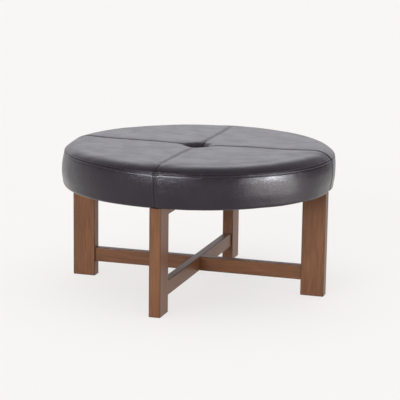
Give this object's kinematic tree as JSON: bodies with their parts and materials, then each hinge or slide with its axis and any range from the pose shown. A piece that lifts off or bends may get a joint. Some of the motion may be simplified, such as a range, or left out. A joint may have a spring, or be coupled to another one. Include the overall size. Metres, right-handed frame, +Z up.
{
  "type": "round ottoman coffee table",
  "caption": "Round leather-topped ottoman table: a thick disc cushion with a button tuft in the middle, on wooden legs joined by crossed stretchers.",
  "frame": {"origin": "on the floor, under the middle of the table", "axes": "+Z up, +X along one low stretcher to the right leg, +Y along the other to the back leg"},
  "size_m": [0.911, 0.911, 0.4805],
  "materials": {
    "walnut_stain": "satin walnut stain over straight grain",
    "leather": "semi-gloss dark espresso bonded leather with fine grain",
    "plywood": "raw plywood",
    "beech": "raw fluted beech dowel",
    "foam": "polyurethane foam",
    "batting": "polyester batting",
    "dust_cloth": "black non-woven dust cloth",
    "twine": "waxed tufting twine",
    "screw_steel": "zinc-plated steel",
    "staple_wire": "galvanised wire",
    "glide_nylon": "brown nylon"
  },
  "bodies": {
    "root": {"leg_right": "walnut_stain", "leg_back": "walnut_stain", "leg_left": "walnut_stain", "leg_front": "walnut_stain", "glide_right": "glide_nylon", "glide_back": "glide_nylon", "glide_left": "glide_nylon", "glide_front": "glide_nylon", "lower_stretcher_left_right": "walnut_stain", "lower_stretcher_front_back": "walnut_stain", "upper_rail_left_right": "walnut_stain", "upper_rail_front_back": "walnut_stain", "lower_dowels": "beech", "upper_dowels": "beech", "lap_screws": "screw_steel", "seat_screws": "screw_steel", "seat_deck": "plywood", "foam_pad": "foam", "batting": "batting", "top_panel_back_right": "leather", "top_panel_back_left": "leather", "top_panel_front_left": "leather", "top_panel_front_right": "leather", "band_panel_back_right": "leather", "band_panel_back_left": "leather", "band_panel_front_left": "leather", "band_panel_front_right": "leather", "button_shell": "leather", "button_back": "screw_steel", "tuft_twine": "twine", "tuft_washer": "screw_steel", "dust_cover": "dust_cloth", "cover_staples": "staple_wire", "dust_cover_staples": "staple_wire"}
  },
  "joints": []
}
